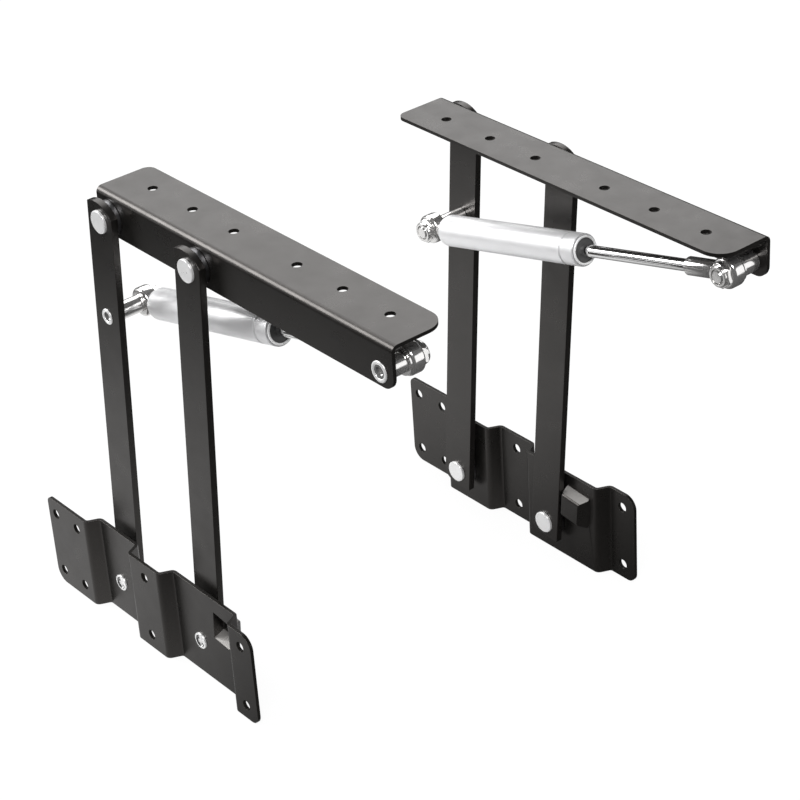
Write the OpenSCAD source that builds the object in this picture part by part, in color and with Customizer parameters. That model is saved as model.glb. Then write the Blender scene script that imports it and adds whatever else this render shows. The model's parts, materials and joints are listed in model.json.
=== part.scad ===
// Lift top table mechanism: a left and a right swing-up unit with gas struts.
// +X points to the person at the table, +Y from the left unit to the right one, +Z up.
// Each unit is drawn in its own frame and then placed: x runs forward from the rear edge of
// its base plate, y inboard from its mounting face, z up from the bottom of its base plate.

/* [Pair] */
// Distance between the outer mounting faces of the two units
pair_spacing = 297; // [220:1:700]
// Distance by which the left unit stands behind the right one
pair_stagger = 60; // [0:1:100]

/* [Base plate] */
// Length of a base plate
base_len = 244.5; // [242:0.5:260]
// Height of a base plate
base_h = 72; // [70:0.5:90]
// Thickness of the pressed steel sheet
sheet_t = 2.5; // [2:0.1:3]
// Depth by which the webs stand inboard of the flanges
joggle_depth = 9.7; // [8:0.1:12]
// Angle between a joggle and the flanges
joggle_angle = 65; // [55:1:72]
// Inner radius of the bends
bend_r = 2; // [1.5:0.1:2.5]
// Middle of the joggle from the rear flange to the rear web
joggle_1_x = 51.3; // [50:0.1:53]
// Middle of the joggle from the rear web to the middle flange
joggle_2_x = 101.3; // [99:0.1:104]
// Middle of the joggle from the middle flange to the front web
joggle_3_x = 141; // [138:0.1:144]
// Middle of the joggle from the front web to the front flange
joggle_4_x = 217.3; // [216:0.1:219]
// Diameter of the screw holes in the flanges
base_hole_d = 7.5; // [5:0.1:8]
// First column of screw holes, from the rear edge
base_hole_x = 9.5; // [9:0.1:12]
// Distance between the two columns in the rear flange
base_hole_pitch = 27; // [24:0.5:28]
// Distance from the first column to the one in the middle flange
base_hole_mid = 111.9; // [108:0.1:114]
// Distance from the middle column to the front one
base_hole_front = 111; // [109:0.5:113]
// Height of the lower row of screw holes
base_hole_z = 11.4; // [10:0.1:13]
// Distance between the two rows of screw holes
base_hole_rise = 48.9; // [44:0.1:52]
// Corner radius at the top of the rear flange
rear_top_r = 5; // [2:0.5:7]
// Corner radius at the bottom of the rear flange
rear_bottom_r = 10; // [4:0.5:11]
// Corner radius at the top of the front flange
front_top_r = 10; // [4:0.5:11]
// Corner radius at the bottom of the front flange
front_bottom_r = 7.5; // [4:0.5:10]

/* [Stop pocket] */
// Length of the stop pocket's face
stop_len = 18.8; // [14:0.1:20]
// Depth of the stop pocket, from the outer face of the web
stop_depth = 10.8; // [10:0.1:12]
// Height of the stop pocket above the front pivot, at the sheet
stop_rise = 10; // [9.5:0.5:12]
// Width of the stop pocket at the sheet
stop_w = 28; // [24:0.5:30]
// Narrowing of the stop pocket at its top and bottom, from the sheet to its face
stop_taper = 5; // [3:0.5:7]
// Bend radius between the stop wall and the face of the pocket
stop_bend_r = 3.5; // [3:0.1:4.5]
// Slant of the pocket's front end, from the sheet to its face
stop_end_slant = 6.4; // [4:0.1:8]
// Corner radius of the pocket's front end, at the sheet
stop_end_r = 5; // [3:0.5:6]
// Clearance between the stop wall and the resting arm
stop_gap = 0.05; // [0.02:0.01:0.3]

/* [Arms] */
// Distance between the two pivots of an arm
arm_len = 297.2; // [280:0.1:320]
// Forward lean of the raised arms, in degrees
arm_lean = 5.2; // [3:0.1:7]
// Width of an arm
arm_w = 27; // [24:0.5:28]
// Thickness of an arm
arm_t = 5; // [4:0.1:6]
// Distance between the rear arm and the front arm
pivot_pitch = 96.6; // [94:0.1:100]
// Rear pivot, from the rear edge of the base plate
pivot_x = 73.5; // [72:0.1:75]
// Height of the base pivots
pivot_z = 27.5; // [26:0.1:29]
// Length of an arm below its base pivot
arm_foot = 11.6; // [10:0.1:13]
// Corner radius at the rear of the foot of an arm
arm_foot_r = 8; // [3:0.5:9]
// Radius of the curved top end of an arm
arm_tip_r = 22; // [20:0.5:30]
// Height of the top end above the top pivot
arm_tip_rise = 13.2; // [11:0.1:14.5]
// Distance by which the crest of the top end lies behind the middle of the arm
arm_tip_back = 2.7; // [0:0.1:4]

/* [Rivets and spacers] */
// Diameter of the pivot rivets
rivet_d = 10; // [8:0.1:11]
// Diameter of a rivet head
rivet_head_d = 16; // [14:0.1:17]
// Thickness of a rivet head
rivet_head_t = 1.8; // [1.4:0.1:2.4]
// Diameter of the staked tail of a rivet
rivet_tail_d = 12.3; // [11.5:0.1:14]
// Thickness of the staked tail of a rivet
rivet_tail_t = 1.2; // [0.8:0.1:1.6]
// Outer diameter of the spacer washers
spacer_d = 24.4; // [20:0.1:25]
// Thickness of the spacer washers
spacer_t = 3.6; // [3:0.1:5]
// Radial clearance of each pin in its hole
pin_play = 0.05; // [0.02:0.01:0.1]
// Side clearance between pieces that turn against each other
side_gap = 0.1; // [0.05:0.01:0.2]

/* [Top bracket] */
// Length of a top bracket
bracket_len = 300; // [298:1:340]
// Height of a top bracket
bracket_h = 30.5; // [29:0.5:34]
// Width of the screw flange of a top bracket
bracket_w = 43; // [42:0.5:50]
// Length of the bracket behind the rear top pivot
bracket_rear = 14.1; // [12:0.1:20]
// Height of the top pivots above the lower edge of the bracket
bracket_pivot_up = 13; // [12:0.1:14]
// Diameter of the screw holes in the top flange
top_hole_d = 6.8; // [4:0.1:7.5]
// First screw hole, from the rear end of the bracket
top_hole_x = 30; // [24:0.5:34]
// Distance between the screw holes of one group of three
top_hole_pitch = 44; // [40:0.5:46]
// Last screw hole, from the front end of the bracket
top_hole_front = 30; // [24:0.5:34]
// Distance of the screw holes from the outer face of the bracket
top_hole_y = 24.3; // [22:0.1:28]
// Corner radius of the flange at its rear end
flange_rear_r = 6.5; // [3:0.5:10]
// Corner radius of the flange at its front end
flange_front_r = 14.5; // [8:0.5:18]
// Corner radius of the web at its lower rear end
web_rear_r = 3; // [1:0.5:6]
// Corner radius of the web at its lower front end
web_front_r = 9; // [3:0.5:9]

/* [Small edges] */
// Chamfer at the edge of a rivet head
head_edge = 0.5; // [0.3:0.1:0.8]
// Depth of the dent in the staked tail of a rivet
tail_dent = 0.6; // [0.3:0.1:0.8]
// Chamfer at the edges of the spacer washers
spacer_edge = 0.4; // [0.2:0.1:0.6]
// Chamfer at the edge of the riveted rings of the pins
ring_edge = 0.3; // [0.2:0.1:0.5]
// Chamfer at the end of a thread
thread_edge = 1; // [0.5:0.1:1.5]
// Chamfer on the hexagon and on the collar of a nut
nut_edge = 0.8; // [0.4:0.1:1]
// Chamfer at the mouth of the rod end
rod_end_edge = 1.6; // [0.8:0.1:2]
// Corner radius at the front of the foot of an arm
arm_foot_front_r = 1; // [0.5:0.5:4]

/* [Strut pins] */
// Distance of the rear strut pin from the base pivot, along the rear arm
stud_up = 224; // [215:0.5:230]
// Distance of the front strut pin behind the front end of the bracket
front_pin_back = 12.5; // [11:0.5:15]
// Distance of the front strut pin below the top face of the bracket
front_pin_down = 21.2; // [20.5:0.1:21.5]
// Length of the rear pin between the arm and the strut's eye
rear_sleeve_len = 21; // [20.5:0.1:24]
// Diameter of the rear pin between the arm and the strut's eye
rear_sleeve_d = 12; // [11.5:0.1:13]
// Diameter of the front pin between the bracket and the strut's eye
front_sleeve_d = 14; // [12:0.1:15]
// Diameter of the riveted shank of the pins
shank_d = 8.6; // [8:0.1:10]
// Diameter of the threaded ends of the pins
thread_d = 10; // [8:0.1:10]
// Length of thread past the eye of the strut
thread_len = 6.2; // [6:0.1:12]
// Diameter of the riveted ring of the rear pin
rear_ring_d = 11.4; // [11:0.1:14]
// Diameter of the riveted ring of the front pin
front_ring_d = 14; // [12:0.1:15]
// Height of the riveted rings
ring_t = 0.9; // [0.6:0.1:1.2]
// Diameter of the hollow in the end of the pins
socket_d = 6; // [4:0.1:6.5]
// Depth of the hollow in the end of the pins
socket_depth = 2.4; // [2:0.1:4]
// Diameter of the washer at the front pin
washer_d = 18; // [16:0.5:20]
// Thickness of the washer at the front pin
washer_t = 1; // [0.8:0.1:1.5]
// Width of the nuts across their flats
nut_af = 15; // [13:0.1:17]
// Height of the hexagon of the nuts
nut_hex_h = 3.2; // [3:0.1:6]
// Diameter of the round collar of the nuts
nut_collar_d = 13.6; // [13:0.1:15]
// Height of the round collar of the nuts
nut_collar_h = 2.2; // [2:0.1:3]

/* [Gas strut] */
// Outer diameter of the strut's tube
tube_d = 22; // [20:0.1:22]
// Wall thickness of the strut's tube
tube_wall = 1.5; // [1:0.1:2]
// Distance from the rear pin to the end of the tube
tube_start = 14.6; // [14:0.1:18]
// Length of the tube
tube_len = 144.4; // [140:0.1:148]
// Radius of the tube's closed shoulder
shoulder_r = 6.5; // [4:0.1:8]
// Thickness of the tube's closed end
tube_end_t = 3; // [2:0.1:4]
// Distance of the groove behind the open rim of the tube
groove_back = 14; // [12:0.5:18]
// Width of the groove
groove_w = 1.2; // [0.8:0.1:2]
// Depth of the groove
groove_depth = 0.6; // [0.4:0.1:0.8]
// Height by which the open rim is rolled inwards
rim_in = 3; // [2:0.1:4]
// Thickness of the rolled rim
rim_t = 1.6; // [1:0.1:2.5]
// Diameter of the piston rod
rod_d = 8; // [7:0.1:10]
// Distance between the raised strut's piston and its guide bush
piston_gap = 9.4; // [5:0.1:14]
// Thickness of the piston
piston_t = 10; // [8:0.5:12]
// Width of the piston ring
piston_ring_w = 4; // [3:0.1:5]
// Depth of the groove for the piston ring
piston_ring_depth = 2.2; // [1.5:0.1:2.5]
// Thickness of the seal behind the rim
seal_t = 3; // [2:0.1:4]
// Thickness of the guide bush behind the seal
guide_t = 7; // [5:0.1:8]
// Diameter of the eye behind the tube
rear_eye_d = 20.5; // [19:0.5:22]
// Diameter of the eye at the end of the rod
front_eye_d = 20.5; // [19:0.5:22]
// Width of both eyes
eye_w = 10; // [8:0.5:11]
// Diameter of the shank of the rod end
rod_end_d = 12; // [11:0.1:13]
// Length of the rod end from its pin
rod_end_len = 35; // [30:0.5:38]
// Depth by which the rod is screwed into the rod end
rod_end_grip = 12; // [8:0.5:14]
// Clearance at the front pin, where the strut leaves the bracket
open_pivot_gap = 0.3; // [0.2:0.05:0.5]

/* [Hidden] */
$fn = 64;
PIECES = [
    "base_plate", "base_rivets", "base_spacers", "rear_arm", "front_arm", "top_bracket",
    "top_rivets", "top_spacers", "rear_pin", "rear_nut", "front_pin", "front_stud",
    "front_washer", "front_nut", "strut_tube", "tube_eye", "rod_guide", "rod_seal",
    "piston", "piston_ring", "piston_rod", "rod_end",
];

corner_steps = 10;
bend_steps = 6;
tip_steps = 16;
cut = 1; // overlap of cuts and of trimmed blanks
paint = [0.13, 0.13, 0.13];
steel = [0.85, 0.85, 0.86];

// Layers of one unit, from its mounting face inboard
web_y = joggle_depth;
web_in_y = web_y + sheet_t;
arm_y = web_in_y + spacer_t + side_gap;
arm_in_y = arm_y + arm_t;
bracket_y = arm_in_y + side_gap + spacer_t;
bracket_in_y = bracket_y + sheet_t;
eye_y = arm_in_y + rear_sleeve_len + side_gap;
eye_in_y = eye_y + eye_w;
strut_y = eye_y + eye_w / 2;
nut_y = eye_in_y + side_gap;

// Places of the top bracket and of the strut's two pins, in the unit's frame
rear_top_x = pivot_x + arm_len * sin(arm_lean);
top_pivot_z = pivot_z + arm_len * cos(arm_lean);
bracket_x = rear_top_x - bracket_rear;
bracket_z = top_pivot_z - bracket_pivot_up;
bracket_top_z = bracket_z + bracket_h;
stud_x = pivot_x + stud_up * sin(arm_lean);
stud_z = pivot_z + stud_up * cos(arm_lean);
front_pin_x = bracket_x + bracket_len - front_pin_back;
front_pin_z = bracket_top_z - front_pin_down;
strut_len = norm([front_pin_x - stud_x, front_pin_z - stud_z]);
strut_angle = atan2(front_pin_z - stud_z, front_pin_x - stud_x);

tube_r = tube_d / 2;
tube_bore_r = tube_r - tube_wall;
tube_end = tube_start + tube_len;
bore_end = tube_end - rim_t;
guide_end = bore_end - seal_t;
piston_start = guide_end - guide_t - piston_gap - piston_t;
piston_groove_r = tube_bore_r - piston_ring_depth;
nut_h = nut_hex_h + nut_collar_h;
stub_r = rod_d / 2;
neck_r = rod_end_d / 2;

// The origin of the pair: middle of its length and width, at the bottom of the base plates
pair_mid_x = (bracket_x + bracket_len - pair_stagger) / 2;

// Points of one rounded corner at b, between its neighbours a and c
function corner(a, b, c, r, n) =
    let (
        u = (a - b) / norm(a - b),
        v = (c - b) / norm(c - b),
        half = acos(u * v) / 2,
        centre = b + (u + v) / norm(u + v) * r / sin(half),
        first = b + u * r / tan(half) - centre,
        last = b + v * r / tan(half) - centre,
        start = atan2(first.y, first.x),
        sweep = atan2(first.x * last.y - first.y * last.x, first * last)
    )
    [for (i = [0 : n]) centre + r * [cos(start + sweep * i / n), sin(start + sweep * i / n)]];

// An outline whose corners have the radii given, where 0 keeps a corner sharp
function rounded(points, radii, n = corner_steps) =
    let (last = len(points) - 1)
    [for (i = [0 : last])
        each radii[i] <= 0 ? [points[i]] :
            corner(points[i == 0 ? last : i - 1], points[i], points[i == last ? 0 : i + 1],
                radii[i], n)];

// Each joggle of the base plate: its middle and whether it steps inboard (1) or outboard (-1)
joggles = [[joggle_1_x, 1], [joggle_2_x, -1], [joggle_3_x, 1], [joggle_4_x, -1]];
joggle_run = joggle_depth / tan(joggle_angle);
joggle_shift = sheet_t * tan(joggle_angle / 2) / 2;

// One face of the sheet in plan, the outer (-1) or the inner one (1), as corners and radii
function face_y(side) = sheet_t * (1 + side) / 2;
function face_points(side) = [
    [0, face_y(side)],
    for (j = joggles) each [
        [j[0] - joggle_run / 2 - j[1] * side * joggle_shift,
            face_y(side) + (j[1] > 0 ? 0 : joggle_depth)],
        [j[0] + joggle_run / 2 - j[1] * side * joggle_shift,
            face_y(side) + (j[1] > 0 ? joggle_depth : 0)],
    ],
    [base_len, face_y(side)],
];
function face_radii(side) = [
    0,
    for (j = joggles) each (j[1] * side > 0 ? [bend_r, bend_r + sheet_t] : [bend_r + sheet_t, bend_r]),
    0,
];
function backwards(list) = [for (i = [len(list) - 1 : -1 : 0]) list[i]];

// Base plate in plan, a strip of sheet with four joggles
module base_strip() {
    linear_extrude(base_h)
        polygon(rounded(concat(face_points(-1), backwards(face_points(1))),
            concat(face_radii(-1), backwards(face_radii(1))), bend_steps));
}

// A flat outline in x and z, given a thickness along y
module upright(y, t) {
    translate([0, y + t, 0]) rotate([90, 0, 0]) linear_extrude(t) children();
}

// A turned piece whose axis points inboard, or outboard with way = -1
module inboard(x, y, z, way = 1) {
    translate([x, y, z]) rotate([-90 * way, 0, 0]) children();
}

// The frame of an arm: its base pivot at the origin, leaning as the raised arms do
module leaning(x) {
    translate([x, 0, pivot_z]) rotate([0, arm_lean, 0]) children();
}

// The frame of the strut: +Z runs from the rear pin to the front pin
module on_strut() {
    translate([stud_x, strut_y, stud_z]) rotate([0, 90 - strut_angle, 0]) children();
}

module hole(d, length) {
    translate([0, 0, -cut]) cylinder(d = d, h = length + 2 * cut);
}

// The stop pocket's outside, or its hollow when inset by the sheet, drawn out of the web. The
// wall towards the arm is square to the sheet with a bend up to the face; the top, the bottom and
// the front end slant
module stop_form(inset) {
    slope = stop_taper / stop_depth;
    end_slope = stop_end_slant / stop_depth;
    outer_y = inset > 0 ? -cut : sheet_t / 2;
    face = stop_depth - inset;
    wall_u = arm_w / 2 + stop_gap + inset;
    end_u = arm_w / 2 + stop_gap + stop_len + stop_end_slant - inset * norm([1, end_slope]);
    low = stop_rise + inset * norm([1, slope]);
    high = stop_rise + stop_w - inset * norm([1, slope]);
    intersection() {
        translate([wall_u - cut, web_y, 0]) rotate([90, 0, 90]) linear_extrude(end_u - wall_u + 2 * cut)
            polygon([[outer_y, low + slope * outer_y], [face, low + slope * face],
                [face, high - slope * face], [outer_y, high - slope * outer_y]]);
        translate([0, web_y, low - cut]) linear_extrude(high - low + 2 * cut)
            polygon(rounded([[wall_u, outer_y], [end_u - end_slope * outer_y, outer_y],
                [end_u - end_slope * face, face], [wall_u, face]],
                [0, 0, 0, stop_bend_r - inset], bend_steps));
        upright(web_y + outer_y - cut, face - outer_y + 2 * cut)
            polygon(rounded([[wall_u - cut, low], [end_u - end_slope * sheet_t, low],
                [end_u - end_slope * sheet_t, high], [wall_u - cut, high]],
                [0, stop_end_r - inset, stop_end_r - inset, 0], bend_steps));
    }
}

base_columns = [
    base_hole_x, base_hole_x + base_hole_pitch, base_hole_x + base_hole_mid,
    base_hole_x + base_hole_mid + base_hole_front,
];
base_rows = [base_hole_z, base_hole_z + base_hole_rise];
base_pivots = [pivot_x, pivot_x + pivot_pitch];

module base_plate() {
    color(paint) difference() {
        union() {
            intersection() {
                base_strip();
                upright(-cut, joggle_depth + sheet_t + 2 * cut)
                    polygon(rounded([[0, 0], [base_len, 0], [base_len, base_h], [0, base_h]],
                        [rear_bottom_r, front_bottom_r, front_top_r, rear_top_r]));
            }
            leaning(pivot_x + pivot_pitch) stop_form(0);
        }
        leaning(pivot_x + pivot_pitch) stop_form(sheet_t);
        for (x = base_columns, z = base_rows)
            inboard(x, 0, z) hole(base_hole_d, sheet_t);
        for (x = base_pivots)
            inboard(x, web_y, pivot_z) hole(rivet_d + 2 * pin_play, sheet_t);
    }
}

// A pivot rivet: head below the origin, shank up through its grip, staked tail at the end
module rivet(grip) {
    head_r = rivet_head_d / 2;
    tail_r = rivet_tail_d / 2;
    end = grip + rivet_tail_t;
    color([0.9, 0.9, 0.9]) rotate_extrude() polygon([
        [0, -rivet_head_t], [head_r - head_edge, -rivet_head_t], [head_r, head_edge - rivet_head_t],
        [head_r, 0], [rivet_d / 2, 0], [rivet_d / 2, grip], [tail_r, grip],
        [tail_r, grip + rivet_tail_t / 2], [tail_r - rivet_tail_t / 2, end], [tail_r / 2, end],
        [tail_r / 2 - tail_dent, end - tail_dent], [0, end - tail_dent],
    ]);
}

// A spacer washer on a pivot rivet
module spacer() {
    outer_r = spacer_d / 2;
    hole_r = rivet_d / 2 + pin_play;
    color([0.45, 0.45, 0.46]) rotate_extrude() polygon([
        [hole_r, 0], [outer_r - spacer_edge, 0], [outer_r, spacer_edge],
        [outer_r, spacer_t - spacer_edge], [outer_r - spacer_edge, spacer_t], [hole_r, spacer_t],
    ]);
}

module base_rivets() {
    for (x = base_pivots)
        inboard(x, arm_in_y + side_gap, pivot_z, -1) rivet(arm_in_y + side_gap - web_y);
}

module base_spacers() {
    for (x = base_pivots)
        inboard(x, web_in_y, pivot_z) spacer();
}

module top_rivets() {
    for (x = [rear_top_x, rear_top_x + pivot_pitch])
        inboard(x, arm_y - side_gap, top_pivot_z) rivet(bracket_in_y - arm_y + side_gap);
}

module top_spacers() {
    for (x = [rear_top_x, rear_top_x + pivot_pitch])
        inboard(x, arm_in_y + side_gap, top_pivot_z) spacer();
}

// An arm in its own frame: square foot with one rounded corner, top end cut to a large arc
module arm() {
    half = arm_w / 2;
    crest = arm_len + arm_tip_rise;
    tip = [for (i = [0 : tip_steps]) let (u = half - arm_w * i / tip_steps)
        [u, crest - arm_tip_r + sqrt(pow(arm_tip_r, 2) - pow(u + arm_tip_back, 2))]];
    color(paint) difference() {
        upright(arm_y, arm_t)
            polygon(rounded(concat([[-half, -arm_foot], [half, -arm_foot]], tip),
                concat([arm_foot_r, arm_foot_front_r], [for (point = tip) 0])));
        for (v = [0, arm_len])
            inboard(0, arm_y, v) hole(rivet_d + 2 * pin_play, arm_t);
        children();
    }
}

module rear_arm() {
    leaning(pivot_x) arm() inboard(0, arm_y, stud_up) hole(shank_d + 2 * pin_play, arm_t);
}

module front_arm() {
    leaning(pivot_x + pivot_pitch) arm();
}

// Top bracket: an angle with the screw flange on top, bent from one sheet
module top_bracket() {
    rear_holes = [for (i = [0 : 2]) top_hole_x + i * top_hole_pitch];
    front_holes = [for (i = [0 : 2]) bracket_len - top_hole_front - i * top_hole_pitch];
    color(paint) difference() {
        intersection() {
            translate([bracket_x, bracket_y, bracket_z]) rotate([90, 0, 90])
                linear_extrude(bracket_len) polygon(rounded(
                    [[0, 0], [sheet_t, 0], [sheet_t, bracket_h - sheet_t],
                        [bracket_w, bracket_h - sheet_t], [bracket_w, bracket_h], [0, bracket_h]],
                    [0, 0, bend_r, 0, 0, bend_r + sheet_t], bend_steps));
            translate([bracket_x, bracket_y, bracket_z - cut]) linear_extrude(bracket_h + 2 * cut)
                polygon(rounded([[0, 0], [bracket_len, 0], [bracket_len, bracket_w], [0, bracket_w]],
                    [0, 0, flange_front_r, flange_rear_r]));
            translate([bracket_x, 0, bracket_z]) upright(bracket_y - cut, bracket_w + 2 * cut)
                polygon(rounded([[0, 0], [bracket_len, 0], [bracket_len, bracket_h], [0, bracket_h]],
                    [web_rear_r, web_front_r, 0, 0]));
        }
        for (x = concat(rear_holes, front_holes))
            translate([bracket_x + x, bracket_y + top_hole_y, bracket_top_z - sheet_t])
                hole(top_hole_d, sheet_t);
        for (x = [rear_top_x, rear_top_x + pivot_pitch])
            inboard(x, bracket_y, top_pivot_z) hole(rivet_d + 2 * pin_play, sheet_t);
        inboard(front_pin_x, bracket_y, front_pin_z) hole(shank_d + 2 * pin_play, sheet_t);
    }
}

// A turned pin: riveted ring with a hollow end, shank, shoulder sleeve and threaded end
module shoulder_pin(ring_d, grip, sleeve_d, sleeve_len, end_len) {
    end_r = end_len > 0 ? thread_d / 2 : sleeve_d / 2;
    top = grip + sleeve_len + end_len;
    color(steel) rotate_extrude() polygon([
        [0, socket_depth - ring_t], [socket_d / 2, socket_depth - ring_t], [socket_d / 2, -ring_t],
        [ring_d / 2 - ring_edge, -ring_t], [ring_d / 2, ring_edge - ring_t], [ring_d / 2, 0],
        [shank_d / 2, 0],
        [shank_d / 2, grip], [sleeve_d / 2, grip], [sleeve_d / 2, grip + sleeve_len],
        if (end_len > 0) each [[end_r, grip + sleeve_len], [end_r, top - thread_edge]],
        if (end_len > 0) [end_r - thread_edge, top],
        [0, top],
    ]);
}

// A lock nut: hexagon with chamfered corners and a round collar
module lock_nut() {
    corner_r = nut_af / 2 / cos(30);
    collar_r = nut_collar_d / 2;
    color([0.88, 0.88, 0.89]) difference() {
        union() {
            intersection() {
                cylinder(r = corner_r, h = nut_hex_h, $fn = 6);
                rotate_extrude() polygon([[0, 0], [corner_r - nut_edge, 0], [corner_r, nut_edge],
                    [corner_r, nut_hex_h - nut_edge], [corner_r - nut_edge, nut_hex_h], [0, nut_hex_h]]);
            }
            rotate_extrude() polygon([[0, nut_hex_h / 2], [collar_r, nut_hex_h / 2],
                [collar_r, nut_h - nut_edge], [collar_r - nut_edge, nut_h], [0, nut_h]]);
        }
        hole(thread_d + 2 * pin_play, nut_h);
    }
}

module rear_pin() {
    leaning(pivot_x) inboard(0, arm_y, stud_up)
        shoulder_pin(rear_ring_d, arm_t, rear_sleeve_d, rear_sleeve_len, side_gap + eye_w + thread_len);
}

module rear_nut() {
    on_strut() inboard(0, nut_y - strut_y, 0) lock_nut();
}

module front_pin() {
    inboard(front_pin_x, bracket_y, front_pin_z)
        shoulder_pin(front_ring_d, sheet_t, front_sleeve_d,
            eye_y - open_pivot_gap - washer_t - bracket_in_y, 0);
}

// The threaded end of the front pin, which travels with the strut
module front_stud() {
    end = washer_t + eye_w + thread_len;
    color(steel) on_strut() inboard(0, eye_y - washer_t - strut_y, strut_len) rotate_extrude()
        polygon([[0, 0], [thread_d / 2, 0], [thread_d / 2, end - thread_edge],
            [thread_d / 2 - thread_edge, end], [0, end]]);
}

module front_washer() {
    color([0.8, 0.8, 0.81]) on_strut() inboard(0, eye_y - washer_t - strut_y, strut_len) difference() {
        cylinder(d = washer_d, h = washer_t);
        hole(thread_d + 2 * pin_play, washer_t);
    }
}

module front_nut() {
    on_strut() inboard(0, nut_y - strut_y, strut_len) lock_nut();
}

// The strut's tube, turned: closed shoulder, groove and rim rolled in over the seal
module strut_tube() {
    groove = tube_end - groove_back;
    shoulder = [for (i = [0 : 8]) let (a = 90 * i / 8)
        [tube_r - shoulder_r + shoulder_r * sin(a), tube_start + shoulder_r - shoulder_r * cos(a)]];
    rim = [for (i = [0 : 4]) let (a = 90 * i / 4)
        [tube_r - rim_t + rim_t * cos(a), tube_end - rim_t + rim_t * sin(a)]];
    color([0.82, 0.82, 0.83]) on_strut() rotate_extrude() polygon(concat(
        [[stub_r + pin_play, tube_start]], shoulder,
        [[tube_r, groove - groove_w / 2], [tube_r - groove_depth, groove - groove_w / 4],
            [tube_r - groove_depth, groove + groove_w / 4], [tube_r, groove + groove_w / 2]],
        rim,
        [[tube_bore_r - rim_in + tube_wall, tube_end], [tube_bore_r - rim_in + tube_wall, bore_end],
            [tube_bore_r, bore_end], [tube_bore_r, tube_start + tube_end_t],
            [stub_r + pin_play, tube_start + tube_end_t]]));
}

// An eye on the end of the strut, its hole along y
module eye(d) {
    inboard(0, -eye_w / 2, 0) cylinder(d = d, h = eye_w);
}

// What is cut from an eye and its neck: the hole and a spot face on each side
module eye_cuts(d, s) {
    inboard(0, -eye_w / 2, s) hole(thread_d + 2 * pin_play, eye_w);
    for (y = [-neck_r - cut, eye_w / 2])
        inboard(0, y, s) cylinder(d = d, h = neck_r + cut - eye_w / 2);
}

module tube_eye() {
    color([0.8, 0.8, 0.81]) on_strut() difference() {
        union() {
            eye(rear_eye_d);
            cylinder(r = neck_r, h = tube_start);
            cylinder(r = stub_r, h = tube_start + tube_end_t);
        }
        eye_cuts(rear_eye_d, 0);
    }
}

module rod_end() {
    start = strut_len - rod_end_len;
    color(steel) on_strut() difference() {
        union() {
            translate([0, 0, strut_len]) eye(front_eye_d);
            rotate_extrude() polygon([[0, start], [neck_r - rod_end_edge, start],
                [neck_r, start + rod_end_edge], [neck_r, strut_len - thread_d / 2],
                [0, strut_len - thread_d / 2]]);
        }
        eye_cuts(front_eye_d, strut_len);
        translate([0, 0, start - cut]) cylinder(r = rod_d / 2 + pin_play, h = rod_end_grip + cut);
    }
}

module piston_rod() {
    color([0.9, 0.9, 0.91]) on_strut() translate([0, 0, piston_start])
        cylinder(d = rod_d, h = strut_len - rod_end_len + rod_end_grip - piston_start);
}

module piston() {
    hole_r = rod_d / 2 + pin_play;
    outer_r = tube_bore_r - 2 * pin_play;
    groove_low = (piston_t - piston_ring_w) / 2;
    groove_high = (piston_t + piston_ring_w) / 2;
    color([0.55, 0.55, 0.56]) on_strut() translate([0, 0, piston_start]) rotate_extrude()
        polygon([[hole_r, 0], [outer_r, 0], [outer_r, groove_low], [piston_groove_r, groove_low],
            [piston_groove_r, groove_high], [outer_r, groove_high], [outer_r, piston_t],
            [hole_r, piston_t]]);
}

module piston_ring() {
    color([0.15, 0.15, 0.15]) on_strut()
        translate([0, 0, piston_start + (piston_t - piston_ring_w) / 2]) difference() {
            cylinder(r = tube_bore_r - pin_play, h = piston_ring_w);
            hole(2 * piston_groove_r, piston_ring_w);
        }
}

// A bush round the rod, held in the tube's bore
module bush(end, t) {
    on_strut() translate([0, 0, end - t]) difference() {
        cylinder(r = tube_bore_r - pin_play / 2, h = t);
        hole(rod_d + 2 * pin_play, t);
    }
}

module rod_seal() {
    color([0.2, 0.2, 0.2]) bush(bore_end, seal_t);
}

module rod_guide() {
    color([0.6, 0.6, 0.6]) bush(guide_end, guide_t);
}

module right() {
    translate([-pair_mid_x, pair_spacing / 2, 0]) mirror([0, 1, 0]) children();
}

module left() {
    translate([-pair_mid_x - pair_stagger, -pair_spacing / 2, 0]) children();
}

left() base_plate();  // left_base_plate
left() base_rivets();  // left_base_rivets
left() base_spacers();  // left_base_spacers
left() rear_arm();  // left_rear_arm
left() front_arm();  // left_front_arm
left() top_bracket();  // left_top_bracket
left() top_rivets();  // left_top_rivets
left() top_spacers();  // left_top_spacers
left() rear_pin();  // left_rear_pin
left() rear_nut();  // left_rear_nut
left() front_pin();  // left_front_pin
left() front_stud();  // left_front_stud
left() front_washer();  // left_front_washer
left() front_nut();  // left_front_nut
left() strut_tube();  // left_strut_tube
left() tube_eye();  // left_tube_eye
left() rod_guide();  // left_rod_guide
left() rod_seal();  // left_rod_seal
left() piston();  // left_piston
left() piston_ring();  // left_piston_ring
left() piston_rod();  // left_piston_rod
left() rod_end();  // left_rod_end
right() base_plate();  // right_base_plate
right() base_rivets();  // right_base_rivets
right() base_spacers();  // right_base_spacers
right() rear_arm();  // right_rear_arm
right() front_arm();  // right_front_arm
right() top_bracket();  // right_top_bracket
right() top_rivets();  // right_top_rivets
right() top_spacers();  // right_top_spacers
right() rear_pin();  // right_rear_pin
right() rear_nut();  // right_rear_nut
right() front_pin();  // right_front_pin
right() front_stud();  // right_front_stud
right() front_washer();  // right_front_washer
right() front_nut();  // right_front_nut
right() strut_tube();  // right_strut_tube
right() tube_eye();  // right_tube_eye
right() rod_guide();  // right_rod_guide
right() rod_seal();  // right_rod_seal
right() piston();  // right_piston
right() piston_ring();  // right_piston_ring
right() piston_rod();  // right_piston_rod
right() rod_end();  // right_rod_end
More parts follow.
